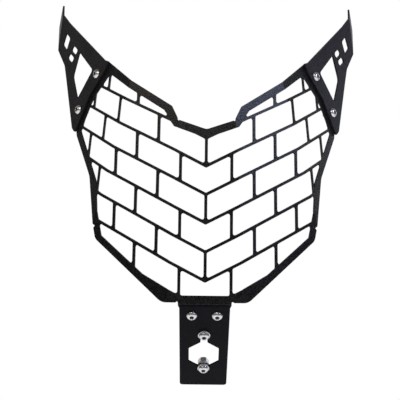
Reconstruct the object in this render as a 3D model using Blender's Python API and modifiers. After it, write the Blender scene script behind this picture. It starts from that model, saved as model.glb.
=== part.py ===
"""Motorcycle headlight guard: a folded steel grille, two wing brackets, a lower bracket and their bolts.

Units are metres. Each sheet is drawn flat, in u (to the right) and v (up), cut out, and then folded.
The centre facet of the grille stands in the XZ plane with its front towards -Y.
"""

import math

import bmesh
import bpy
from mathutils import Matrix, Vector

MM = 0.001

# Running gap between pieces that touch
GAP = 0.3 * MM

# Grille sheet and its brick pattern
SHEET = 1.5 * MM
BAR = 3.0 * MM
BRICK_PITCH = 50.0 * MM
ROW_PITCH = 27.9 * MM
ROW_RISE = 0.514
FIRST_LINE_HEIGHT = 83.6 * MM
BRICK_CORNER_RADIUS = 1.6 * MM
SMALLEST_OPENING = 6.0 * MM * MM

# Folds of the grille, as (u mm, v mm) ends of their lines on the right-hand side
BEND_RADIUS = 4.0 * MM
INNER_FOLD = ((28.2, 102.0), (38.4, -98.0))
INNER_FOLD_ANGLE = math.radians(27.7)
OUTER_FOLD = ((86.0, 146.0), (125.9, 1.0))
OUTER_FOLD_ANGLE = math.radians(22.7)
TAB_FOLD_HEIGHT = -78.8 * MM
TAB_FOLD_ANGLE = math.radians(45.0)

# Neck of the grille, which tapers into its tab, and the relief notches beside it
NECK_HALF_WIDTH = 25.7 * MM
NECK_BELOW_FOLD = 0.4 * MM
NOTCH_WIDTH = 2.5 * MM
NOTCH_RISE = 3.6 * MM
TAB_STEP = 3.2 * MM
TAPER_LENGTH = 9.0 * MM
TAPER_RADIUS = 1.6 * MM
TAB_CORNER_RADIUS = 3.0 * MM

# Outline of the grille sheet, right half from beside the notch up, as (u mm, v mm, corner radius mm)
GRILLE_OUTLINE = (
    (42.3, -76.5, 14.0),
    (121.8, -13.1, 9.0),
    (124.5, -1.8, 0.5),
    (122.6, 0.2, 0.7),
    (125.4, 2.0, 0.5),
    (142.4, 55.2, 25.0),
    (179.0, 106.6, 4.0),
    (184.0, 122.0, 6.0),
    (186.0, 138.0, 8.0),
    (149.0, 184.4, 6.0),
    (131.5, 181.9, 8.0),
    (86.7, 150.2, 30.0),
    (35.7, 116.5, 3.0),
    (29.3, 104.2, 0.6),
    (28.4, 100.4, 0.6),
    (26.4, 101.2, 0.6),
    (0.0, 92.3, 6.0),
)

# Inner edge of the grille's border, right half from the bottom up, as (u mm, v mm)
GRILLE_WINDOW = (
    (0.0, -69.7),
    (38.0, -69.7),
    (114.6, -9.9),
    (129.0, 48.3),
    (171.2, 110.5),
    (166.0, 123.6),
    (157.3, 139.0),
    (147.8, 149.2),
    (125.4, 166.3),
    (44.2, 112.9),
    (38.4, 104.8),
    (36.3, 100.4),
    (32.5, 95.2),
    (11.5, 87.7),
    (0.0, 82.0),
)

# Right wing bracket, in the same flat frame as the grille, as (u mm, v mm, corner radius mm)
WING_PLATE = 2.0 * MM
WING_OUTLINE = (
    (127.3, 180.2, 1.0),
    (136.0, 168.6, 8.0),
    (158.8, 148.2, 20.0),
    (181.0, 110.2, 2.0),
    (187.6, 116.5, 3.0),
    (215.1, 183.1, 30.0),
    (222.6, 200.4, 12.0),
    (243.0, 225.2, 2.0),
    (260.0, 262.6, 6.0),
    (252.0, 289.4, 1.0),
    (243.0, 272.4, 1.0),
    (224.3, 255.4, 20.0),
    (135.6, 183.8, 3.0),
)
WING_WINDOW = ((192.4, 209.2, 1.5), (158.4, 178.2, 3.0), (184.0, 150.0, 1.5), (200.2, 181.4, 10.0))
MOUNT_HOLE = ((228.4, 244.2, 2.0), (217.6, 233.3, 3.0), (222.4, 219.4, 2.0), (233.4, 230.4, 3.0))
WING_BOLTS = {"upper": (147.8, 170.8), "lower": (177.2, 135.9)}
WING_FOLD_AT = 243.0 * MM
WING_FOLD_ANGLE = math.radians(20.0)

# Pair of short slots in each wing
TRIM_SLOT_LENGTH = 15.0 * MM
TRIM_SLOT_WIDTH = 6.6 * MM
TRIM_SLOT_SPACING = 10.2 * MM
TRIM_SLOT_TILT = math.radians(39.0)
TRIM_CENTRE = (207.0 * MM, 210.6 * MM)

# Lower bracket, as distances along its face from the tab's fold
LOWER_PLATE = 2.0 * MM
LOWER_WIDTH = 48.6 * MM
LOWER_CORNER_RADIUS = 3.0 * MM
PLATE_ABOVE_FOLD = 0.5 * MM
TAB_BOLTS_BELOW_FOLD = 11.6 * MM
TAB_BOLT_SPACING = 24.5 * MM
TAB_PAST_BOLTS = 12.4 * MM
SLOT_BELOW_TAB = 10.9 * MM
SLOT_LENGTH = 56.4 * MM
PLATE_BELOW_SLOT = 24.6 * MM

# Six-sided window that the slot runs through
WINDOW_BELOW_SLOT_TOP = 33.8 * MM
WINDOW_WIDTH = 30.0 * MM
WINDOW_HEIGHT = 37.5 * MM
WINDOW_SIDE = 20.0 * MM
WINDOW_RADIUS = 2.0 * MM

# M6 button-head bolts, nuts and washers
SHANK_RADIUS = 2.85 * MM
HOLE_CLEARANCE = 0.45 * MM
SLOT_CLEARANCE = 0.55 * MM
HEAD_RADIUS = 5.25 * MM
HEAD_HEIGHT = 3.0 * MM
HEAD_FLAT_RADIUS = 2.9 * MM
HEAD_RIM = 0.5 * MM
SOCKET_ACROSS = 4.0 * MM
SOCKET_DEPTH = 2.0 * MM
TIP_CHAMFER = 0.6 * MM
LENGTH_STEP = 2.0 * MM
LEAST_PAST_NUT = 2.0 * MM
NUT_ACROSS = 10.0 * MM
NUT_HEIGHT = 5.0 * MM
NUT_CHAMFER = 0.7 * MM
WASHER_RADIUS = 6.0 * MM
WASHER_THICKNESS = 1.6 * MM

# How finely round stretches are divided
BEND_STRIPS = 3
OUTLINE_ARC_STEPS = 3
BRICK_ARC_STEPS = 2
TURN_STEPS = 20
DOME_STEPS = 4

# Limits of the flat drawing and of shading
STRAIGHT_WITHIN = math.radians(1.0)
LARGEST_FILLET_SHARE = 0.45
MERGE_DISTANCE = 0.02 * MM
CUT_TOLERANCE = 0.0001 * MM
SHARP_ABOVE = math.radians(35.0)

# Colours
POWDER_BLACK = (0.012, 0.012, 0.014, 1.0)
WING_BLACK = (0.017, 0.017, 0.021, 1.0)
ZINC = (0.62, 0.61, 0.60, 1.0)

# Sizes that follow from those above
TAB_LENGTH = TAB_BOLTS_BELOW_FOLD + TAB_PAST_BOLTS
SLOT_TOP = TAB_LENGTH + SLOT_BELOW_TAB
SLOT_BOTTOM = SLOT_TOP + SLOT_LENGTH
PLATE_BOTTOM = SLOT_BOTTOM + PLATE_BELOW_SLOT
SLOT_WIDTH = 2 * (SHANK_RADIUS + SLOT_CLEARANCE)
BOLT_HOLE_RADIUS = SHANK_RADIUS + HOLE_CLEARANCE
BORE_RADIUS = SHANK_RADIUS + GAP


def clear_scene():
    """Removes every object of the scene."""
    for obj in list(bpy.data.objects):
        bpy.data.objects.remove(obj, do_unlink=True)


def make_collection(name):
    """A new collection under the scene's own."""
    collection = bpy.data.collections.new(name)
    bpy.context.scene.collection.children.link(collection)
    return collection


def make_material(name, colour, roughness, metallic):
    """A Principled material."""
    material = bpy.data.materials.new(name)
    material.use_nodes = True
    shader = material.node_tree.nodes["Principled BSDF"]
    shader.inputs["Base Color"].default_value = colour
    shader.inputs["Roughness"].default_value = roughness
    shader.inputs["Metallic"].default_value = metallic
    material.diffuse_color = colour
    return material


def in_metres(corners):
    """Corners given in mm, in metres."""
    return [tuple(value * MM for value in corner) for corner in corners]


def mirrored(corners):
    """Corners of the right-hand side as corners of the left-hand side."""
    return [(-corner[0], *corner[1:]) for corner in corners]


def rounded(corners, steps=OUTLINE_ARC_STEPS):
    """A polygon of (u, v, radius) corners with each corner turned into an arc, as points."""
    path = []
    for i, (u, v, radius) in enumerate(corners):
        corner = Vector((u, v))
        before = Vector(corners[i - 1][:2]) - corner
        after = Vector(corners[(i + 1) % len(corners)][:2]) - corner
        angle = before.angle(after)
        if math.pi - angle < STRAIGHT_WITHIN:
            path.append(corner)
            continue
        longest = LARGEST_FILLET_SHARE * min(before.length, after.length)
        reach = min(radius / math.tan(angle / 2), longest)
        radius = reach * math.tan(angle / 2)
        bisector = (before.normalized() + after.normalized()).normalized()
        centre = corner + bisector * (radius / math.sin(angle / 2))
        first = corner + before.normalized() * reach - centre
        sweep = first.angle_signed(corner + after.normalized() * reach - centre)
        for step in range(steps + 1):
            turned = first.copy()
            turned.rotate(Matrix.Rotation(-sweep * step / steps, 2))
            path.append(centre + turned)
    return path


def circle(u, v, radius):
    """A circle as points."""
    angles = [2 * math.pi * step / TURN_STEPS for step in range(TURN_STEPS)]
    return [Vector((u + radius * math.cos(a), v + radius * math.sin(a))) for a in angles]


def clip(polygon, point, inward):
    """The part of a polygon on the inward side of the line through a point."""
    kept = []
    for i, here in enumerate(polygon):
        before = polygon[i - 1]
        side_here = (here - point).dot(inward)
        side_before = (before - point).dot(inward)
        if side_here * side_before < 0:
            kept.append(before + (here - before) * (side_before / (side_before - side_here)))
        if side_here >= 0:
            kept.append(here)
    return kept


def area(polygon):
    """Area of a polygon."""
    return abs(sum(polygon[i - 1].cross(p) for i, p in enumerate(polygon))) / 2


def without_repeats(polygon):
    """A polygon without points that lie on each other."""
    return [p for i, p in enumerate(polygon) if (p - polygon[i - 1]).length > MERGE_DISTANCE]


def row_line(number):
    """The point where a row line of the grille meets the centre line, counted down from the first."""
    return Vector((0.0, FIRST_LINE_HEIGHT - number * ROW_PITCH))


def brick_openings():
    """The openings of the grille: bricks in a running bond, cut off by the border."""
    window = [Vector(p) for p in in_metres(GRILLE_WINDOW)]
    widest = max(p.x for p in window)
    highest = max(p.y - ROW_RISE * p.x for p in window)
    lowest = min(p.y for p in window)
    first_line = math.floor((FIRST_LINE_HEIGHT - highest) / ROW_PITCH)
    last_line = math.ceil((FIRST_LINE_HEIGHT - lowest) / ROW_PITCH)
    across_row = Vector((-ROW_RISE, 1.0)).normalized()
    openings = []
    for line in range(first_line, last_line):
        row = clip(window, row_line(line) - across_row * BAR / 2, -across_row)
        row = clip(row, row_line(line + 1) + across_row * BAR / 2, across_row)
        shift = BRICK_PITCH / 2 if line % 2 else 0.0
        for column in range(math.ceil((widest + shift) / BRICK_PITCH)):
            start = column * BRICK_PITCH - shift + BAR / 2
            end = start + BRICK_PITCH - BAR
            brick = clip(row, Vector((max(start, 0.0), 0.0)), Vector((1.0, 0.0)))
            brick = without_repeats(clip(brick, Vector((end, 0.0)), Vector((-1.0, 0.0))))
            if len(brick) < 3 or area(brick) < SMALLEST_OPENING:
                continue
            if start < 0.0:
                openings.append(across_centre(brick))
            else:
                openings += [brick, [Vector((-p.x, p.y)) for p in brick]]
    return [rounded([(*p, BRICK_CORNER_RADIUS) for p in brick], BRICK_ARC_STEPS) for brick in openings]


def across_centre(half):
    """A whole brick from its right half, which runs round from the bottom of the centre line."""
    on_centre = [i for i, p in enumerate(half) if p.x < MERGE_DISTANCE]
    start = min(on_centre, key=lambda i: half[i].y)
    half = half[start:] + half[:start]
    return half + [Vector((-p.x, p.y)) for p in reversed(half[1:-1])]


class Fold:
    """A bend of a sheet about a line of its flat pattern, away from the viewer beyond that line."""

    def __init__(self, start, end, outward, angle):
        self.start = Vector((start[0], 0.0, start[1]))
        along = (Vector((end[0], 0.0, end[1])) - self.start).normalized()
        outward = Vector((outward[0], 0.0, outward[1]))
        self.outward = (outward - along * outward.dot(along)).normalized()
        self.angle = angle
        self.half_strip = BEND_RADIUS * angle / 2

    def distance(self, flat):
        """How far a flat point lies beyond the line."""
        return (flat - self.start).dot(self.outward)

    def matrix(self):
        """Where everything beyond the bend goes."""
        back = Vector((0.0, 1.0, 0.0))
        turn = Matrix.Rotation(self.angle, 4, self.outward.cross(back))
        shift = BEND_RADIUS * math.sin(self.angle) - self.half_strip * (1 + math.cos(self.angle))
        drop = BEND_RADIUS * (1 - math.cos(self.angle)) - self.half_strip * math.sin(self.angle)
        offset = Matrix.Translation(self.outward * shift + back * drop)
        about = Matrix.Translation(self.start)
        return offset @ about @ turn @ about.inverted()

    def carry(self, flat, point):
        """Moves a point, already bent by the folds beyond this one, with this bend."""
        distance = self.distance(flat)
        if distance <= -self.half_strip:
            return point
        if distance >= self.half_strip:
            return self.matrix() @ point
        turned = (distance + self.half_strip) / BEND_RADIUS
        across = BEND_RADIUS * math.sin(turned) - self.half_strip
        drop = Vector((0.0, BEND_RADIUS * (1 - math.cos(turned)), 0.0))
        return flat + self.outward * (across - distance) + drop


def side_folds(side):
    """The grille's two side folds, the outer one first; side is 1 on the right and -1 on the left."""
    folds = []
    for ends, angle in ((OUTER_FOLD, OUTER_FOLD_ANGLE), (INNER_FOLD, INNER_FOLD_ANGLE)):
        start, end = [(side * u, v) for u, v in in_metres(ends)]
        folds.append(Fold(start, end, (side, 0.0), angle))
    return folds


def tab_fold():
    """The fold of the tab at the bottom of the grille."""
    return Fold((0.0, TAB_FOLD_HEIGHT), (NECK_HALF_WIDTH, TAB_FOLD_HEIGHT), (0.0, -1.0), TAB_FOLD_ANGLE)


def wing_fold(side):
    """The fold of a wing bracket's outer edge."""
    line_at = side * WING_FOLD_AT
    return Fold((line_at, 0.0), (line_at, WING_FOLD_AT), (side, 0.0), WING_FOLD_ANGLE)


def facet_matrix(side):
    """Carries the flat frame to the outer facet of the grille."""
    outer, inner = side_folds(side)
    return inner.matrix() @ outer.matrix()


def tab_matrix():
    """Carries a flat frame with its origin on the tab's fold to the tab."""
    return tab_fold().matrix() @ Matrix.Translation((0.0, 0.0, TAB_FOLD_HEIGHT))


def flat_mesh(name, rings):
    """A flat face with holes, from a filled 2D curve, laid into the XZ plane."""
    curve = bpy.data.curves.new(name, "CURVE")
    curve.dimensions = "2D"
    curve.fill_mode = "BOTH"
    for ring in rings:
        spline = curve.splines.new("POLY")
        spline.points.add(len(ring) - 1)
        spline.use_cyclic_u = True
        for point, place in zip(spline.points, ring):
            point.co = (place.x, place.y, 0.0, 1.0)
    guide = bpy.data.objects.new(name + "_flat", curve)
    bpy.context.scene.collection.objects.link(guide)
    graph = bpy.context.evaluated_depsgraph_get()
    mesh = bpy.data.meshes.new_from_object(guide.evaluated_get(graph))
    bpy.data.objects.remove(guide)
    bpy.data.curves.remove(curve)
    mesh.name = name
    mesh.transform(Matrix.Rotation(math.pi / 2, 4, "X"))
    return mesh


def cut_along(bm, faces, point, normal):
    """Cuts some faces of a flat mesh along a line."""
    geometry = set(faces)
    for face in faces:
        geometry.update(face.edges)
        geometry.update(face.verts)
    bmesh.ops.bisect_plane(bm, geom=list(geometry), plane_co=point, plane_no=normal, dist=CUT_TOLERANCE)


def fold_mesh(mesh, folds_of_side, folds_of_both=()):
    """Cuts a flat mesh along the strips of its bends, bends it, and turns its faces to the front."""
    bm = bmesh.new()
    bm.from_mesh(mesh)
    bmesh.ops.remove_doubles(bm, verts=bm.verts, dist=CUT_TOLERANCE)
    cut_along(bm, bm.faces[:], Vector(), Vector((1.0, 0.0, 0.0)))
    folds_at = {side: folds_of_side(side) for side in (1, -1)}
    for side, folds in (*folds_at.items(), (0, folds_of_both)):
        for fold in folds:
            for strip in range(BEND_STRIPS + 1):
                offset = fold.half_strip * (2 * strip / BEND_STRIPS - 1)
                faces = [f for f in bm.faces if side * f.calc_center_median().x >= 0.0]
                cut_along(bm, faces, fold.start + fold.outward * offset, fold.outward)
    for vert in bm.verts:
        flat = vert.co.copy()
        for fold in (*folds_at[1 if flat.x >= 0.0 else -1], *folds_of_both):
            vert.co = fold.carry(flat, vert.co.copy())
    bm.normal_update()
    if sum(face.normal.y * face.calc_area() for face in bm.faces) > 0.0:
        bmesh.ops.reverse_faces(bm, faces=bm.faces[:])
    bm.to_mesh(mesh)
    bm.free()


def add_part(name, mesh, material, placement, parts, root):
    """A named object in its place on the guard."""
    obj = bpy.data.objects.new(name, mesh)
    parts.objects.link(obj)
    obj.parent = root
    obj.matrix_basis = placement
    if not mesh.materials:
        mesh.materials.append(material)
    return obj


def add_thickness(obj, thickness):
    """Gives a sheet its thickness, behind the face that was drawn."""
    solidify = obj.modifiers.new("Thickness", "SOLIDIFY")
    solidify.thickness = thickness
    solidify.offset = -1.0
    solidify.use_even_offset = True


def grille_outline():
    """The whole outline of the grille sheet, from the tab's right corner round."""
    tab_half_width = NECK_HALF_WIDTH - TAB_STEP
    neck_bottom = TAB_FOLD_HEIGHT - NECK_BELOW_FOLD
    edge_height = GRILLE_OUTLINE[0][1] * MM
    notch_top = TAB_FOLD_HEIGHT + NOTCH_RISE
    right = [
        (tab_half_width, TAB_FOLD_HEIGHT - TAB_LENGTH, TAB_CORNER_RADIUS),
        (tab_half_width, neck_bottom - TAPER_LENGTH, TAPER_RADIUS),
        (NECK_HALF_WIDTH, neck_bottom, TAPER_RADIUS),
        (NECK_HALF_WIDTH, notch_top - NOTCH_WIDTH / 2, NOTCH_WIDTH / 4),
        (NECK_HALF_WIDTH + NOTCH_WIDTH / 3, notch_top, NOTCH_WIDTH / 4),
        (NECK_HALF_WIDTH + NOTCH_WIDTH, edge_height, NOTCH_WIDTH / 4),
    ]
    right += in_metres(GRILLE_OUTLINE)
    return rounded(right + mirrored(reversed(right[:-1])))


def tab_bolt_places():
    """Where the tab's bolts go, as (u, distance down the tab)."""
    half = TAB_BOLT_SPACING / 2
    return {"left": (-half, TAB_BOLTS_BELOW_FOLD), "right": (half, TAB_BOLTS_BELOW_FOLD)}


def make_grille(parts, root, material):
    """The grille: one sheet, cut, and folded at four lines and at its tab."""
    rings = [grille_outline()] + brick_openings()
    for side in (1, -1):
        rings += [circle(side * u, v, BOLT_HOLE_RADIUS) for u, v in in_metres(WING_BOLTS.values())]
    rings += [circle(u, TAB_FOLD_HEIGHT - down, BOLT_HOLE_RADIUS) for u, down in tab_bolt_places().values()]
    mesh = flat_mesh("guard_grille", rings)
    fold_mesh(mesh, side_folds, [tab_fold()])
    grille = add_part("guard_grille", mesh, material, Matrix.Identity(4), parts, root)
    add_thickness(grille, SHEET)


def trim_slots():
    """The corners of a wing's two short slots with round ends, level with the wing's upper edge."""
    along = Vector((math.cos(TRIM_SLOT_TILT), math.sin(TRIM_SLOT_TILT)))
    across = along.orthogonal()
    reach = along * TRIM_SLOT_LENGTH / 2
    half = across * TRIM_SLOT_WIDTH / 2
    slots = []
    for place in (-1, 1):
        middle = Vector(TRIM_CENTRE) + across * (place * TRIM_SLOT_SPACING / 2)
        ends = (middle - reach - half, middle + reach - half, middle + reach + half, middle - reach + half)
        slots.append([(*p, TRIM_SLOT_WIDTH / 2) for p in ends])
    return slots


def make_wing(side, name, parts, root, material):
    """A wing bracket: a plate with a window, two slots, a mounting hole and a folded outer edge."""
    shapes = [in_metres(shape) for shape in (WING_OUTLINE, WING_WINDOW, MOUNT_HOLE)] + trim_slots()
    rings = [rounded([(side * u, v, radius) for u, v, radius in shape]) for shape in shapes]
    rings += [circle(side * u, v, BOLT_HOLE_RADIUS) for u, v in in_metres(WING_BOLTS.values())]
    mesh = flat_mesh(name, rings)
    fold_mesh(mesh, lambda half: [wing_fold(side)] if half == side else [])
    front = Matrix.Translation((0.0, -GAP - WING_PLATE, 0.0))
    wing = add_part(name, mesh, material, facet_matrix(side) @ front, parts, root)
    add_thickness(wing, WING_PLATE)


def lower_slot():
    """The adjustment slot of the lower bracket, which widens into a six-sided window."""
    half = SLOT_WIDTH / 2
    middle = SLOT_TOP + WINDOW_BELOW_SLOT_TOP
    right = [
        (half, -SLOT_TOP, half),
        (half, WINDOW_HEIGHT / 2 - middle, WINDOW_RADIUS),
        (WINDOW_WIDTH / 2, WINDOW_SIDE / 2 - middle, WINDOW_RADIUS),
        (WINDOW_WIDTH / 2, -WINDOW_SIDE / 2 - middle, WINDOW_RADIUS),
        (half, -WINDOW_HEIGHT / 2 - middle, WINDOW_RADIUS),
        (half, -SLOT_BOTTOM, half),
    ]
    return right + mirrored(reversed(right))


def make_lower_bracket(parts, root, material):
    """The lower bracket: a plate on the front of the grille's tab."""
    right = [
        (LOWER_WIDTH / 2, PLATE_ABOVE_FOLD, LOWER_CORNER_RADIUS / 2),
        (LOWER_WIDTH / 2, -PLATE_BOTTOM, LOWER_CORNER_RADIUS),
    ]
    rings = [rounded(right + mirrored(reversed(right))), rounded(lower_slot())]
    rings += [circle(u, -down, BOLT_HOLE_RADIUS) for u, down in tab_bolt_places().values()]
    mesh = flat_mesh("lower_bracket", rings)
    fold_mesh(mesh, lambda half: [])
    place = tab_matrix() @ Matrix.Translation((0.0, -GAP - LOWER_PLATE, 0.0))
    bracket = add_part("lower_bracket", mesh, material, place, parts, root)
    add_thickness(bracket, LOWER_PLATE)


def turned_object(name, profile, closed):
    """An object turned about Z from a profile of (radius, height) points, top to bottom."""
    mesh = bpy.data.meshes.new(name)
    edges = [(i, i + 1) for i in range(len(profile) - 1)]
    if closed:
        edges.append((len(profile) - 1, 0))
    mesh.from_pydata([(radius, 0.0, height) for radius, height in profile], edges, [])
    obj = bpy.data.objects.new(name, mesh)
    bpy.context.scene.collection.objects.link(obj)
    screw = obj.modifiers.new("Turn", "SCREW")
    screw.axis = "Z"
    screw.angle = 2 * math.pi
    screw.steps = TURN_STEPS
    screw.render_steps = TURN_STEPS
    screw.use_merge_vertices = True
    screw.merge_threshold = CUT_TOLERANCE
    return obj


def baked(obj):
    """The evaluated mesh of an object, which is then removed."""
    graph = bpy.context.evaluated_depsgraph_get()
    mesh = bpy.data.meshes.new_from_object(obj.evaluated_get(graph))
    mesh.name = obj.name
    bpy.data.objects.remove(obj)
    mesh.shade_smooth()
    mesh.set_sharp_from_angle(angle=SHARP_ABOVE)
    return mesh


def hex_cutter(name, across, depth, middle, cutters):
    """A six-sided prism about Z."""
    bm = bmesh.new()
    radius = across / math.sqrt(3)
    bmesh.ops.create_cone(
        bm, cap_ends=True, segments=6, radius1=radius, radius2=radius, depth=depth
    )
    mesh = bpy.data.meshes.new(name)
    bm.to_mesh(mesh)
    bm.free()
    mesh.transform(Matrix.Translation((0.0, 0.0, middle)))
    obj = bpy.data.objects.new(name, mesh)
    cutters.objects.link(obj)
    obj.hide_render = True
    obj.display_type = "WIRE"
    return obj


def add_boolean(obj, operation, cutter):
    """Cuts an object with a cutter, or keeps what the two share."""
    cut = obj.modifiers.new(operation.title(), "BOOLEAN")
    cut.operation = operation
    cut.object = cutter


def bolt_mesh(length, name, cutters):
    """A button-head bolt with a hexagon socket, its head's seat at z = 0 and its shank below."""
    rise = HEAD_HEIGHT - HEAD_RIM
    centre_below_rim = (HEAD_RADIUS**2 - HEAD_FLAT_RADIUS**2 - rise**2) / (2 * rise)
    dome_radius = math.hypot(HEAD_RADIUS, centre_below_rim)
    first = math.atan2(HEAD_FLAT_RADIUS, rise + centre_below_rim)
    last = math.atan2(HEAD_RADIUS, centre_below_rim)
    profile = [(0.0, HEAD_HEIGHT)]
    for step in range(DOME_STEPS + 1):
        turn = first + (last - first) * step / DOME_STEPS
        height = HEAD_RIM - centre_below_rim + dome_radius * math.cos(turn)
        profile.append((dome_radius * math.sin(turn), height))
    profile += [
        (HEAD_RADIUS, 0.0),
        (SHANK_RADIUS, 0.0),
        (SHANK_RADIUS, TIP_CHAMFER - length),
        (SHANK_RADIUS - TIP_CHAMFER, -length),
        (0.0, -length),
    ]
    bolt = turned_object(name, profile, False)
    socket = hex_cutter(name + "_socket_cutter", SOCKET_ACROSS, 2 * SOCKET_DEPTH, HEAD_HEIGHT, cutters)
    add_boolean(bolt, "DIFFERENCE", socket)
    return baked(bolt)


def nut_mesh(cutters):
    """A hexagon nut with chamfered corners on both faces, its seat at z = 0 and its body below."""
    corner = NUT_ACROSS / math.sqrt(3)
    profile = [
        (BORE_RADIUS, 0.0),
        (corner - NUT_CHAMFER, 0.0),
        (corner + NUT_CHAMFER, -NUT_CHAMFER),
        (corner + NUT_CHAMFER, NUT_CHAMFER - NUT_HEIGHT),
        (corner - NUT_CHAMFER, -NUT_HEIGHT),
        (BORE_RADIUS, -NUT_HEIGHT),
    ]
    nut = turned_object("nut", profile, True)
    hexagon = hex_cutter("nut_hexagon_cutter", NUT_ACROSS, 2 * NUT_HEIGHT, -NUT_HEIGHT / 2, cutters)
    add_boolean(nut, "INTERSECT", hexagon)
    return baked(nut)


def washer_mesh():
    """A flat washer, its seat at z = 0 and its body below."""
    profile = [
        (BORE_RADIUS, 0.0),
        (WASHER_RADIUS, 0.0),
        (WASHER_RADIUS, -WASHER_THICKNESS),
        (BORE_RADIUS, -WASHER_THICKNESS),
    ]
    return baked(turned_object("washer", profile, True))


def bolt_length(front, back):
    """The stock length of a bolt that clamps from a front depth to a back depth."""
    needed = back - front + 2 * GAP + NUT_HEIGHT + LEAST_PAST_NUT
    return math.ceil(needed / LENGTH_STEP) * LENGTH_STEP


class Fasteners:
    """The bolts, nuts and washers, which share their meshes."""

    def __init__(self, parts, root, material, cutters):
        self.parts = parts
        self.root = root
        self.material = material
        self.cutters = cutters
        self.bolts = {}
        self.nut = nut_mesh(cutters)
        self.washer = washer_mesh()

    def bolt(self, length):
        """The bolt mesh of a length."""
        if length not in self.bolts:
            name = f"bolt_{round(length / MM)}"
            self.bolts[length] = bolt_mesh(length, name, self.cutters)
        return self.bolts[length]

    def seat(self, name, mesh, frame, place, depth):
        """Seats one fastener on a flat frame, its axis out of the front, at a depth behind it."""
        u, v = place
        seat = frame @ Matrix.Translation((u, depth, v)) @ Matrix.Rotation(math.pi / 2, 4, "X")
        add_part(name, mesh, self.material, seat, self.parts, self.root)

    def clamp(self, name, frame, place, front, back):
        """A bolt and a nut that clamp plates from a front depth to a back depth."""
        self.seat(name + "_bolt", self.bolt(bolt_length(front, back)), frame, place, front - GAP)
        self.seat(name + "_nut", self.nut, frame, place, back + GAP)

    def clamp_with_washers(self, name, frame, place, front, back):
        """A bolt, two washers and a nut."""
        front -= GAP + WASHER_THICKNESS
        self.seat(name + "_front_washer", self.washer, frame, place, front)
        self.seat(name + "_rear_washer", self.washer, frame, place, back + GAP)
        self.clamp(name, frame, place, front, back + GAP + WASHER_THICKNESS)


def make_fasteners(parts, root, material, cutters):
    """The fasteners of the wings, of the tab and of the adjustment slot."""
    fasteners = Fasteners(parts, root, material, cutters)
    for side, word in ((-1, "left"), (1, "right")):
        for height, (u, v) in zip(WING_BOLTS, in_metres(WING_BOLTS.values())):
            name = f"{word}_wing_{height}"
            fasteners.clamp(name, facet_matrix(side), (side * u, v), -GAP - WING_PLATE, SHEET)
    plate_front = -GAP - LOWER_PLATE
    for word, (u, down) in tab_bolt_places().items():
        fasteners.clamp(word + "_tab", tab_matrix(), (u, -down), plate_front, SHEET)
    slot_ends = {"upper": SLOT_TOP + SLOT_WIDTH / 2, "lower": SLOT_BOTTOM - SLOT_WIDTH / 2}
    for word, down in slot_ends.items():
        fasteners.clamp_with_washers(word + "_slot", tab_matrix(), (0.0, -down), plate_front, -GAP)


def make_root():
    """An empty that puts the origin in the middle of the slot, at the back of the lower bracket."""
    down = (SLOT_TOP + SLOT_BOTTOM) / 2
    root = bpy.data.objects.new("guard_root", None)
    bpy.context.scene.collection.objects.link(root)
    root.location = -(tab_matrix() @ Vector((0.0, -GAP, -down)))
    return root


def main():
    """Builds the guard."""
    clear_scene()
    parts = make_collection("headlight_guard")
    cutters = make_collection("cutters")
    powder = make_material("black_powder_coat", POWDER_BLACK, 0.55, 0.0)
    wing_powder = make_material("wing_powder_coat", WING_BLACK, 0.5, 0.0)
    lower_powder = make_material("lower_powder_coat", POWDER_BLACK, 0.5, 0.0)
    zinc = make_material("zinc_plate", ZINC, 0.25, 1.0)
    root = make_root()
    make_grille(parts, root, powder)
    make_wing(-1, "left_wing_bracket", parts, root, wing_powder)
    make_wing(1, "right_wing_bracket", parts, root, wing_powder)
    make_lower_bracket(parts, root, lower_powder)
    make_fasteners(parts, root, zinc, cutters)


main()
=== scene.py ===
"""The looks of the headlight guard: coated sheets, finished fasteners, light and camera.

Everything is in metres, in the frame of the solids: +Z up, the front towards -Y, and the origin
in the middle of the lower bracket's slot.
"""

import math

import bmesh
import bpy
import numpy as np
from mathutils import Euler, Matrix, Vector

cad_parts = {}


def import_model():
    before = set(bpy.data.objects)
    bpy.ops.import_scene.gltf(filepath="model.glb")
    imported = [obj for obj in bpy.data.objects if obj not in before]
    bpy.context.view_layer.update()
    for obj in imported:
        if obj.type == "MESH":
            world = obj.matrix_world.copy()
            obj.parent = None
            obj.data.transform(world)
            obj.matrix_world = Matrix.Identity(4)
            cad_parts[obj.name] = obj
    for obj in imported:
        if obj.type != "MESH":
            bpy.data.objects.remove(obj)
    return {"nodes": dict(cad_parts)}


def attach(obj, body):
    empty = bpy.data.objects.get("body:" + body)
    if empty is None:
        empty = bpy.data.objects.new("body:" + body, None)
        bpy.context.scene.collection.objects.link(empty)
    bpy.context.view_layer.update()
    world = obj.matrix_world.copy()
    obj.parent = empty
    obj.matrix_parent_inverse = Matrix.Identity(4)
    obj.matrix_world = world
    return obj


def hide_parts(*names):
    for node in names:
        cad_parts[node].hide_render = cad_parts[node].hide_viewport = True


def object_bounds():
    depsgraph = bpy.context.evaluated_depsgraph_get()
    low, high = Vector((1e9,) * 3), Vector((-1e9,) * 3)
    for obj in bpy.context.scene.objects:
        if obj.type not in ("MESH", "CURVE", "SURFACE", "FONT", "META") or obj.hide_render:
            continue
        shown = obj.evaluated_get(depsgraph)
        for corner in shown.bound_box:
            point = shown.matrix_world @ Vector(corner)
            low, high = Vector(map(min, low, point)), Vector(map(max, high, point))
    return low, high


MM = 0.001
BODY = "root"

# Camera, as fitted to the photograph
CAMERA_PLACE = (-0.0085, -0.7767, 0.0588)
CAMERA_PITCH = math.radians(6.794)
CAMERA_YAW = math.radians(0.224)
CAMERA_ROLL = math.radians(0.66)
SENSOR_WIDTH = 36.0
FOCAL_LENGTH = 68.49

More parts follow.
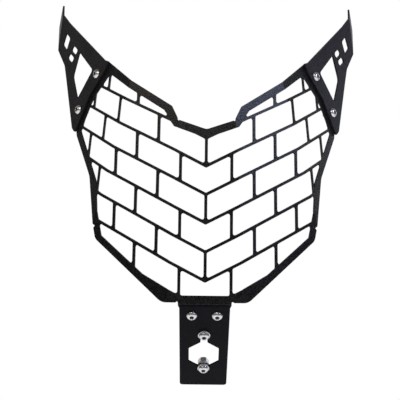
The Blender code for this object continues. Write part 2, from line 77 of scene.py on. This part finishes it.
# Sheets and the coat slot of each
SHEETS = {
    "guard_grille": "grille_coat",
    "left_wing_bracket": "wing_coat",
    "right_wing_bracket": "wing_coat",
    "lower_bracket": "lower_coat",
}
MERGE_DISTANCE = 0.05 * MM
FLAT_WITHIN = math.radians(0.3)
EDGE_RADIUS = 0.1 * MM
EDGE_SEGMENTS = 2
EDGE_ABOVE = math.radians(40.0)
SMOOTH_BELOW = math.radians(35.0)
FACE_AREA_WEIGHT = 100

# M6 fasteners
TURN_STEPS = 48
HEAD_RADIUS = 5.25 * MM
HEAD_HEIGHT = 3.0 * MM
HEAD_FLAT_RADIUS = 2.9 * MM
HEAD_RIM = 0.5 * MM
HEAD_EDGE = 0.12 * MM
DOME_STEPS = 12
SOCKET_ACROSS = 4.0 * MM
SOCKET_DEPTH = 2.0 * MM
SOCKET_LEAD = 0.3 * MM
SOCKET_POINT = 0.7 * MM
SOCKET_POINT_RADIUS = 0.2 * SOCKET_ACROSS
SHANK_RADIUS = 2.85 * MM
THREAD_PITCH = 1.0 * MM
THREAD_DEPTH = 0.5 * MM
THREAD_RINGS = 7
THREAD_FROM = 4.0 * MM
TIP_CHAMFER = 0.6 * MM
SHADED_SOCKET_RINGS = 1
NUT_ACROSS = 10.0 * MM
NUT_CHAMFER = 0.7 * MM
NUT_CHAMFER_SLOPE = 2
NUT_CHAMFER_RINGS = 5
BORE_RADIUS = 3.15 * MM
BORE_LEAD = 0.35 * MM
WASHER_RADIUS = 6.0 * MM
WASHER_EDGE = 0.25 * MM
EDGE_RINGS = 4
CORNER_DIGITS = 7

# Powder coats: level, tint, roughness, specular level, and the grain's contrast, strength and size
COATS = {
    "grille_coat": (0.0088, (1.02, 0.98, 1.01), 0.26, 0.24, 0.7, 1.0, 1.5 * MM),
    "wing_coat": (0.0194, (1.0, 0.94, 1.08), 0.4, 0.08, 0.5, 0.6, 1.0 * MM),
    "lower_coat": (0.007, (1.02, 0.94, 1.22), 0.4, 0.035, 0.35, 0.5, 0.8 * MM),
}
GRAIN_DETAIL = 2.0
GRAIN_ROUGHNESS = 0.55
GRAIN_FROM, GRAIN_FULL = 0.36, 0.64
LIGHT_GRAIN = 1.2
CELLS_PER_GRAIN = 1.6
GRAIN_HEIGHT = 0.12 * MM
PATCH_SCALE = 45.0
DARK_PATCH, LIGHT_PATCH = 0.85, 1.1
GLOSS_CHANGE = 0.06

# Bright zinc, and painted shade on the bottoms of the sockets
ZINC_LEVEL = 0.74
ZINC_TINT = (1.0, 0.985, 0.96)
ZINC_METALLIC = 0.9
ZINC_ROUGHNESS = (0.18, 0.36)
DARK_CLOUD, LIGHT_CLOUD = 0.82, 1.08
CLOUD_SCALE = 420.0
MARK_SCALE = 900.0
MARK_DETAIL = 2.0
MARK_STRETCH = (1.0, 1.0, 9.0)
MARK_STRENGTH = 0.25
MARK_HEIGHT = 0.02 * MM
SOCKET_CLOUD_SCALE = 700.0
SOCKET_SHADE_LEVELS = (0.025, 0.06)
SOCKET_METALLIC = 0.6
SOCKET_ROUGHNESS = (0.45, 0.65)

# Clouds in the tones: the noise's detail, and its values where the tone is dark and light
CLOUD_DETAIL = 3.0
TONE_FROM, TONE_FULL = 0.3, 0.7

# Floor
FLOOR_DEPTH = 0.12
FLOOR_RADIUS = 0.45
FLOOR_SEGMENTS = 96
FLOOR_COLOUR = (0.86, 0.86, 0.86, 1.0)
FLOOR_ROUGHNESS = 0.9
FLOOR_GLOW = 0.5

# Studio: a white sweep behind and below the guard, which fades towards a dim room in front of it
FILL = 0.4
BEHIND_FROM, BEHIND_FULL = 0.35, 0.95
BELOW_FROM, BELOW_FULL = 0.15, 0.45
ROOM_LEVEL = 0.05

# Soft boxes: azimuth and elevation in degrees, radiance and colour
SOFTBOX_DISTANCE = 1.1
SOFTBOX_SIZE = 0.5
SOFTBOXES = {
    "right_box": (57.0, 29.0, 8.0, (0.6, 0.68, 1.0)),
    "left_box": (-57.0, 30.0, 2.2, (1.0, 0.9, 0.8)),
    "front_box": (-8.0, 31.0, 3.0, (1.0, 0.95, 0.92)),
    "side_box": (128.0, 13.0, 0.8, (0.85, 0.9, 1.0)),
}


def turned_about(centre, azimuth, elevation, distance):
    """A place at a distance from a centre; azimuth 0 is in front and +90 degrees on the right."""
    azimuth, elevation = math.radians(azimuth), math.radians(elevation)
    flat = distance * math.cos(elevation)
    rise = distance * math.sin(elevation)
    return centre + Vector((flat * math.sin(azimuth), -flat * math.cos(azimuth), rise))


class Nodes:
    """Adds and links the nodes of one node tree."""

    def __init__(self, tree):
        self.tree = tree

    def add(self, kind, settings=None, **inputs):
        """A node with its properties set, and its inputs given as values or linked to sockets."""
        node = self.tree.nodes.new(kind)
        for name, value in (settings or {}).items():
            setattr(node, name, value)
        for name, value in inputs.items():
            self.put(node, name.replace("_", " "), value)
        return node

    def put(self, node, name, value):
        """Sets an input, or links it where the value is a socket."""
        if isinstance(value, bpy.types.NodeSocket):
            self.tree.links.new(value, node.inputs[name])
        else:
            node.inputs[name].default_value = value

    def noise(self, place, scale, detail, **inputs):
        """Noise values at a place."""
        node = self.add("ShaderNodeTexNoise", Vector=place, Scale=scale, Detail=detail, **inputs)
        return node.outputs["Fac"]

    def ramp(self, fac, stops):
        """A colour ramp between two (position, colour) stops."""
        node = self.add("ShaderNodeValToRGB", Fac=fac)
        for element, stop in zip(node.color_ramp.elements, stops):
            element.position, element.color = stop
        return node.outputs["Color"]

    def spread(self, value, low, high):
        """A value from 0 to 1 mapped to a range."""
        node = self.add("ShaderNodeMapRange", Value=value)
        node.inputs["To Min"].default_value = low
        node.inputs["To Max"].default_value = high
        return node.outputs["Result"]

    def fade(self, value, start, full):
        """A smooth rise from 0, where the value is at its start, to 1."""
        node = self.add("ShaderNodeMapRange", {"interpolation_type": "SMOOTHSTEP"}, Value=value)
        node.inputs["From Min"].default_value = start
        node.inputs["From Max"].default_value = full
        return node.outputs["Result"]

    def greater(self, first, second):
        """The greater of two values."""
        node = self.add("ShaderNodeMath", {"operation": "MAXIMUM"})
        self.tree.links.new(first, node.inputs[0])
        self.tree.links.new(second, node.inputs[1])
        return node.outputs[0]

    def roughen(self, shader, strength, distance, height):
        """Gives a shader the bumps of a height."""
        bump = self.add("ShaderNodeBump", Strength=strength, Distance=distance, Height=height)
        self.put(shader, "Normal", bump.outputs["Normal"])

    def blend(self, factor, first, second):
        """A mix of two colours."""
        node = self.add("ShaderNodeMix", {"data_type": "RGBA"}, Factor=factor, A=first, B=second)
        return node.outputs["Result"]


def grey(value, tint=(1.0, 1.0, 1.0)):
    """A colour from a level and a tint."""
    return (value * tint[0], value * tint[1], value * tint[2], 1.0)


def new_material(name):
    """A node material, with its nodes and its shader."""
    material = bpy.data.materials.new(name)
    material.use_nodes = True
    nodes = Nodes(material.node_tree)
    return material, nodes, material.node_tree.nodes["Principled BSDF"]


def powder_coat(name, level, tint, roughness, specular, contrast, grain, grain_size):
    """Black powder coat: a fine orange-peel grain, with slight changes of tone and gloss."""
    material, nodes, shader = new_material(name)
    place = nodes.add("ShaderNodeTexCoord").outputs["Object"]
    peel = nodes.noise(place, 1.0 / grain_size, GRAIN_DETAIL, Roughness=GRAIN_ROUGHNESS)
    cells = nodes.add("ShaderNodeTexVoronoi", Vector=place, Scale=CELLS_PER_GRAIN / grain_size)
    patches = nodes.noise(place, PATCH_SCALE, CLOUD_DETAIL)
    dark, light = level * (1 - contrast), level * (1 + LIGHT_GRAIN * contrast)
    grains = nodes.ramp(peel, [(GRAIN_FROM, grey(dark, tint)), (GRAIN_FULL, grey(light, tint))])
    shades = nodes.ramp(patches, [(TONE_FROM, grey(DARK_PATCH)), (TONE_FULL, grey(LIGHT_PATCH))])
    multiply = {"data_type": "RGBA", "blend_type": "MULTIPLY"}
    tone = nodes.add("ShaderNodeMix", multiply, Factor=1.0, A=grains, B=shades)
    nodes.put(shader, "Base Color", tone.outputs["Result"])
    gloss = nodes.spread(patches, roughness - GLOSS_CHANGE, roughness + GLOSS_CHANGE)
    nodes.put(shader, "Roughness", gloss)
    shader.inputs["Specular IOR Level"].default_value = specular
    height = nodes.add("ShaderNodeMath", {"operation": "ADD"})
    nodes.tree.links.new(peel, height.inputs[0])
    nodes.tree.links.new(cells.outputs["Distance"], height.inputs[1])
    nodes.roughen(shader, grain, GRAIN_HEIGHT, height.outputs[0])
    return material


def bright_zinc(name):
    """Bright zinc plate, slightly cloudy, with fine turning marks."""
    material, nodes, shader = new_material(name)
    place = nodes.add("ShaderNodeTexCoord").outputs["Object"]
    cloud = nodes.noise(place, CLOUD_SCALE, CLOUD_DETAIL)
    stretch = nodes.add("ShaderNodeMapping", Vector=place)
    stretch.inputs["Scale"].default_value = MARK_STRETCH
    marks = nodes.noise(stretch.outputs["Vector"], MARK_SCALE, MARK_DETAIL)
    dark, light = (grey(ZINC_LEVEL * share, ZINC_TINT) for share in (DARK_CLOUD, LIGHT_CLOUD))
    nodes.put(shader, "Base Color", nodes.ramp(cloud, [(TONE_FROM, dark), (TONE_FULL, light)]))
    shader.inputs["Metallic"].default_value = ZINC_METALLIC
    nodes.put(shader, "Roughness", nodes.spread(cloud, *ZINC_ROUGHNESS))
    nodes.roughen(shader, MARK_STRENGTH, MARK_HEIGHT, marks)
    return material


def painted_socket_shade(name):
    """Painted shade on the bottom of a bolt's socket: a dull, dark material where the recess lies
    in shade.
    """
    material, nodes, shader = new_material(name)
    place = nodes.add("ShaderNodeTexCoord").outputs["Object"]
    cloud = nodes.noise(place, SOCKET_CLOUD_SCALE, CLOUD_DETAIL)
    dark, light = (grey(level) for level in SOCKET_SHADE_LEVELS)
    nodes.put(shader, "Base Color", nodes.ramp(cloud, [(TONE_FROM, dark), (TONE_FULL, light)]))
    shader.inputs["Metallic"].default_value = SOCKET_METALLIC
    nodes.put(shader, "Roughness", nodes.spread(cloud, *SOCKET_ROUGHNESS))
    return material


def make_materials():
    """The materials by their slot names, and that of the sockets' bottoms."""
    materials = {name: powder_coat(name, *values) for name, values in COATS.items()}
    materials["zinc"] = bright_zinc("zinc")
    # The sockets' bottoms get painted shade: a dark material where the recess lies in shade
    materials["socket"] = painted_socket_shade("socket")
    return materials


def add_piece(name, mesh, materials, matrix, node):
    """A piece that stands for a node of the solids."""
    piece = bpy.data.objects.new(name, mesh)
    bpy.context.scene.collection.objects.link(piece)
    piece.matrix_world = matrix
    if not mesh.materials:
        for material in materials:
            mesh.materials.append(material)
    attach(piece, BODY)
    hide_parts(node)
    return piece


def finish_shading(mesh):
    """Smooth shading, with sharp edges kept."""
    mesh.shade_smooth()
    mesh.set_sharp_from_angle(angle=SMOOTH_BELOW)


def welded_copy(node):
    """A copy of a node's mesh with shared corners and whole flat faces."""
    mesh = node.data.copy()
    bm = bmesh.new()
    bm.from_mesh(mesh)
    bmesh.ops.remove_doubles(bm, verts=bm.verts[:], dist=MERGE_DISTANCE)
    bmesh.ops.dissolve_limit(bm, angle_limit=FLAT_WITHIN, verts=bm.verts[:], edges=bm.edges[:])
    bm.to_mesh(mesh)
    bm.free()
    mesh.materials.clear()
    return mesh


def make_sheet(node, slot, materials):
    """A coated sheet: the node's own form with its cut edges softened."""
    mesh = welded_copy(node)
    whole = Matrix.Identity(4)
    piece = add_piece(node.name + "_coated", mesh, [materials[slot]], whole, node.name)
    bevel = piece.modifiers.new("Edges", "BEVEL")
    bevel.width = EDGE_RADIUS
    bevel.segments = EDGE_SEGMENTS
    bevel.limit_method = "ANGLE"
    bevel.angle_limit = EDGE_ABOVE
    bevel.use_clamp_overlap = False
    mesh.shade_smooth()
    normals = piece.modifiers.new("Normals", "WEIGHTED_NORMAL")
    normals.weight = FACE_AREA_WEIGHT
    normals.keep_sharp = True
    return piece


def hexagon(across):
    """The radius of a hexagon at an angle, its first corner at 0."""
    side = math.pi / 3
    return lambda angle: across / 2 / math.cos(angle % side - side / 2)


def lofted(name, rings, closed=False, shaded_socket_rings=0):
    """A mesh through rings about Z, given as (height, radius) from the top outwards and down."""
    bm = bmesh.new()
    loops = []
    for height, radius in rings:
        loop = []
        for step in range(TURN_STEPS):
            angle = 2 * math.pi * step / TURN_STEPS
            reach = radius(angle) if callable(radius) else radius
            corner = (reach * math.cos(angle), reach * math.sin(angle), height)
            loop.append(bm.verts.new(corner))
        loops.append(loop)
    pairs = list(zip(loops, loops[1:]))
    if closed:
        pairs.append((loops[-1], loops[0]))
    else:
        bm.faces.new(loops[0])
        bm.faces.new(loops[-1][::-1])
    for ring, (inner, outer) in enumerate(pairs):
        for step in range(TURN_STEPS):
            face = bm.faces.new((inner[step - 1], outer[step - 1], outer[step], inner[step]))
            # The first rings take the second material, which is painted shade on a socket's bottom
            face.material_index = 1 if ring < shaded_socket_rings else 0
    # The end face at the socket's bottom gets the painted shade too
    if shaded_socket_rings:
        bm.faces.ensure_lookup_table()
        bm.faces[0].material_index = 1
    bmesh.ops.recalc_face_normals(bm, faces=bm.faces[:])
    mesh = bpy.data.meshes.new(name)
    bm.to_mesh(mesh)
    bm.free()
    finish_shading(mesh)
    return mesh


def thread(height, length):
    """The radius of the shank's thread at a height, limited by the tip's chamfer."""
    chamfer = SHANK_RADIUS - max(0.0, TIP_CHAMFER - (height + length))

    def radius(angle):
        turn = (height / THREAD_PITCH + angle / (2 * math.pi)) % 1.0
        ridge = SHANK_RADIUS - THREAD_DEPTH * abs(2 * turn - 1)
        return min(ridge, chamfer)

    return radius


def bolt_mesh(length):
    """A button-head bolt with a hexagon socket and a thread, its seat at z = 0, its head above."""
    socket = hexagon(SOCKET_ACROSS)
    lead_radius = SOCKET_ACROSS / math.sqrt(3) + SOCKET_LEAD / 2
    bottom = HEAD_HEIGHT - SOCKET_DEPTH
    rings = [
        (bottom - SOCKET_POINT, SOCKET_POINT_RADIUS),
        (bottom, socket),
        (HEAD_HEIGHT - SOCKET_LEAD, socket),
        (HEAD_HEIGHT, lead_radius),
    ]
    rise = HEAD_HEIGHT - HEAD_RIM
    centre_below_rim = (HEAD_RADIUS**2 - HEAD_FLAT_RADIUS**2 - rise**2) / (2 * rise)
    dome_radius = math.hypot(HEAD_RADIUS, centre_below_rim)
    first = math.atan2(HEAD_FLAT_RADIUS, rise + centre_below_rim)
    last = math.atan2(HEAD_RADIUS, centre_below_rim)
    for step in range(DOME_STEPS + 1):
        turn = first + (last - first) * step / DOME_STEPS
        height = HEAD_RIM - centre_below_rim + dome_radius * math.cos(turn)
        rings.append((height, dome_radius * math.sin(turn)))
    rings += [(HEAD_EDGE, HEAD_RADIUS), (0.0, HEAD_RADIUS - HEAD_EDGE), (0.0, SHANK_RADIUS)]
    rings.append((-THREAD_FROM, SHANK_RADIUS))
    threaded = length - THREAD_FROM
    count = math.ceil(threaded / THREAD_PITCH * THREAD_RINGS)
    for ring in range(1, count + 1):
        height = -THREAD_FROM - threaded * ring / count
        rings.append((height, thread(height, length)))
    return lofted(f"bolt_{round(length / MM)}", rings, shaded_socket_rings=SHADED_SOCKET_RINGS)


def nut_mesh(height):
    """A hexagon nut, its seat at z = 0 and its body below."""
    outer = hexagon(NUT_ACROSS)
    corner = NUT_ACROSS / math.sqrt(3)

    def chamfered(down):
        reach = corner - NUT_CHAMFER + NUT_CHAMFER_SLOPE * down
        return lambda angle: min(outer(angle), reach)

    drop = NUT_CHAMFER / NUT_CHAMFER_SLOPE
    steps = [drop * ring / NUT_CHAMFER_RINGS for ring in range(NUT_CHAMFER_RINGS + 1)]
    rings = [(-BORE_LEAD, BORE_RADIUS), (0.0, BORE_RADIUS + BORE_LEAD)]
    rings += [(-down, chamfered(down)) for down in steps]
    rings += [(down - height, chamfered(down)) for down in reversed(steps)]
    rings += [(-height, BORE_RADIUS + BORE_LEAD), (BORE_LEAD - height, BORE_RADIUS)]
    return lofted("nut", rings, closed=True)


def washer_mesh(thickness):
    """A flat washer with rounded edges, its seat at z = 0 and its body below."""
    rings = [(0.0, BORE_RADIUS)]
    for side, start in ((0, 0.0), (1, math.pi / 2)):
        middle = -WASHER_EDGE if side == 0 else WASHER_EDGE - thickness
        for step in range(EDGE_RINGS + 1):
            turn = start + math.pi / 2 * step / EDGE_RINGS
            reach = WASHER_RADIUS - WASHER_EDGE + WASHER_EDGE * math.sin(turn)
            rings.append((middle + WASHER_EDGE * math.cos(turn), reach))
    rings.append((-thickness, BORE_RADIUS))
    return lofted("washer", rings, closed=True)


def corners_of(node):
    """The distinct corners of a node's mesh."""
    corners = np.array([vert.co for vert in node.data.vertices])
    return np.unique(corners.round(CORNER_DIGITS), axis=0)


def axis_of(corners):
    """The axis of a turned piece, out of its front: its spread differs from the other two."""
    spread, directions = np.linalg.eigh(np.cov(corners.T))
    odd = 0 if spread[1] - spread[0] > spread[2] - spread[1] else 2
    axis = Vector(directions[:, odd])
    return axis if axis.y < 0 else -axis


def seat_of(node, front_above_seat):
    """The placement of a fastener on its seat, and the length from its front to its back."""
    corners = corners_of(node)
    axis = axis_of(corners)
    depths = corners @ np.array(axis)
    middle = Vector(corners.mean(axis=0))
    middle += axis * (depths.max() - front_above_seat - middle.dot(axis))
    across = Vector((0.0, 0.0, 1.0)).cross(axis).normalized()
    turn = Matrix((across, axis.cross(across), axis)).transposed().to_4x4()
    return Matrix.Translation(middle) @ turn, float(depths.max() - depths.min())


def make_fasteners(nodes, materials):
    """Finer bolts, nuts and washers, each on the seat of the node that it stands for."""
    makers = {"bolt": bolt_mesh, "nut": nut_mesh, "washer": washer_mesh}
    # The second material is painted shade for the sockets' bottoms
    plated = [materials["zinc"], materials["socket"]]
    meshes = {}
    for name, node in sorted(nodes.items()):
        if name in SHEETS:
            continue
        kind = name.rsplit("_", 1)[1]
        above_seat = HEAD_HEIGHT if kind == "bolt" else 0.0
        place, length = seat_of(node, above_seat)
        key = (kind, round(length / MM, 1))
        if key not in meshes:
            meshes[key] = makers[kind](length - above_seat)
        add_piece(name + "_plated", meshes[key], plated, place, name)


def add_floor():
    """A round pale floor under the guard, which keeps its shadow."""
    bm = bmesh.new()
    bmesh.ops.create_circle(bm, cap_ends=True, segments=FLOOR_SEGMENTS, radius=FLOOR_RADIUS)
    mesh = bpy.data.meshes.new("floor")
    bm.to_mesh(mesh)
    bm.free()
    floor = bpy.data.objects.new("floor", mesh)
    floor.location = (0.0, 0.0, -FLOOR_DEPTH)
    bpy.context.scene.collection.objects.link(floor)
    material, nodes, shader = new_material("floor")
    shader.inputs["Base Color"].default_value = FLOOR_COLOUR
    shader.inputs["Roughness"].default_value = FLOOR_ROUGHNESS
    shader.inputs["Specular IOR Level"].default_value = 0.0
    path = nodes.add("ShaderNodeLightPath")
    seen = nodes.greater(path.outputs["Is Camera Ray"], path.outputs["Is Glossy Ray"])
    seen = nodes.greater(seen, path.outputs["Is Transmission Ray"])
    glow = nodes.spread(seen, 0.0, FLOOR_GLOW)
    shader.inputs["Emission Color"].default_value = (1.0, 1.0, 1.0, 1.0)
    nodes.put(shader, "Emission Strength", glow)
    mesh.materials.append(material)


def add_world():
    """A plain fill light; the camera sees white, and reflections show the sweep and the room."""
    world = bpy.data.worlds.new("studio")
    bpy.context.scene.world = world
    world.use_nodes = True
    nodes = Nodes(world.node_tree)
    path = nodes.add("ShaderNodeLightPath")
    direction = nodes.add("ShaderNodeTexCoord").outputs["Generated"]
    way = nodes.add("ShaderNodeSeparateXYZ", Vector=direction)
    behind = nodes.fade(way.outputs["Y"], BEHIND_FROM, BEHIND_FULL)
    below = nodes.fade(way.outputs["Z"], -BELOW_FROM, -BELOW_FULL)
    sweep = nodes.greater(behind, below)
    surroundings = nodes.blend(sweep, grey(ROOM_LEVEL), grey(1.0))
    mirrored = nodes.greater(path.outputs["Is Glossy Ray"], path.outputs["Is Transmission Ray"])
    colour = nodes.blend(mirrored, grey(FILL), surroundings)
    colour = nodes.blend(path.outputs["Is Camera Ray"], colour, grey(1.0))
    background = world.node_tree.nodes["Background"]
    nodes.put(background, "Color", colour)
    background.inputs["Strength"].default_value = 1.0


def add_softbox(name, place, target, radiance, colour):
    """A square area light that looks at a target, with its brightness given as radiance."""
    light = bpy.data.lights.new(name, "AREA")
    light.shape = "SQUARE"
    light.size = SOFTBOX_SIZE
    light.energy = radiance * math.pi * SOFTBOX_SIZE**2
    light.color = colour
    lamp = bpy.data.objects.new(name, light)
    bpy.context.scene.collection.objects.link(lamp)
    lamp.location = place
    lamp.rotation_euler = (target - place).to_track_quat("-Z", "Y").to_euler()
    lamp.visible_camera = False


def add_lights(centre):
    """Soft studio light: a cool box on the right, a dimmer warm one on the left, and two more."""
    for name, (azimuth, elevation, radiance, colour) in SOFTBOXES.items():
        place = turned_about(centre, azimuth, elevation, SOFTBOX_DISTANCE)
        add_softbox(name, place, centre, radiance, colour)


def add_camera():
    """The camera of the photograph."""
    data = bpy.data.cameras.new("camera")
    data.sensor_width = SENSOR_WIDTH
    data.lens = FOCAL_LENGTH
    camera = bpy.data.objects.new("camera", data)
    bpy.context.scene.collection.objects.link(camera)
    camera.location = CAMERA_PLACE
    level = Euler((math.pi / 2 + CAMERA_PITCH, 0.0, -CAMERA_YAW)).to_matrix()
    camera.rotation_euler = (level @ Matrix.Rotation(CAMERA_ROLL, 3, "Z")).to_euler()
    bpy.context.scene.camera = camera


def corners_as_lists(bounds):
    """The two corners of a box as plain lists."""
    return [list(map(float, corner)) for corner in bounds]


def main():
    """Dresses the guard."""
    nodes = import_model()["nodes"]
    solids_box = corners_as_lists(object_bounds())
    materials = make_materials()
    for name, slot in SHEETS.items():
        make_sheet(nodes[name], slot, materials)
    make_fasteners(nodes, materials)
    add_floor()
    add_world()
    low, high = (Vector(corner) for corner in solids_box)
    add_lights((low + high) / 2)
    add_camera()
    bpy.context.scene.view_settings.view_transform = "Standard"


main()
